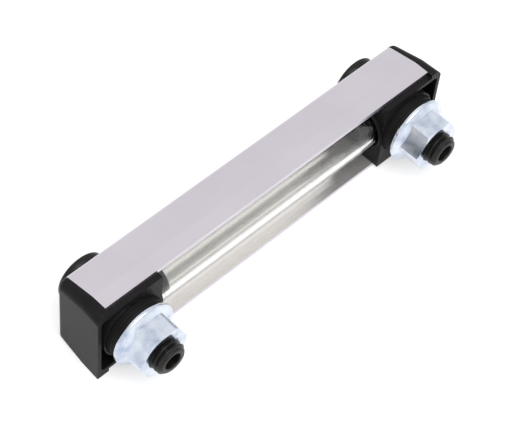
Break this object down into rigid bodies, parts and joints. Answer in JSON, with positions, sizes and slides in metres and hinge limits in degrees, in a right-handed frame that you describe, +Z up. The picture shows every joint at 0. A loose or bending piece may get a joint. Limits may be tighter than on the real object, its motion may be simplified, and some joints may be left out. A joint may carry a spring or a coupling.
{
  "type": "tank level gauge",
  "caption": "Straight sight gauge for a hydraulic tank: clear tube between black end caps in an aluminium channel, clamped by hollow screws with flange nuts and rubber seals.",
  "frame": {"origin": "bottom centre of the bounding box, with the gauge lying on its long side as pictured", "axes": "+X along the gauge, from the cap nearer the viewer in the picture to the far one; -Y towards the tank, the side of the nuts; +Z up, across the channel's width"},
  "size_m": [0.157, 0.0448, 0.0335],
  "materials": {
    "channel_alu": "satin anodised",
    "cap_plastic": "fine matt grain",
    "tube_clear": "clear, polished",
    "screw_black": "oiled black oxide",
    "nut_zinc": "bluish zinc plate",
    "seal_rubber": "moulded"
  },
  "bodies": {
    "root": {"channel": "channel_alu", "sight_tube": "tube_clear", "end_cap_left": "cap_plastic", "hollow_screw_left": "screw_black", "flange_nut_left": "nut_zinc", "tank_seal_left": "seal_rubber", "head_ring_left": "seal_rubber", "tube_ring_left": "seal_rubber", "end_cap_right": "cap_plastic", "hollow_screw_right": "screw_black", "flange_nut_right": "nut_zinc", "tank_seal_right": "seal_rubber", "head_ring_right": "seal_rubber", "tube_ring_right": "seal_rubber"}
  },
  "joints": []
}
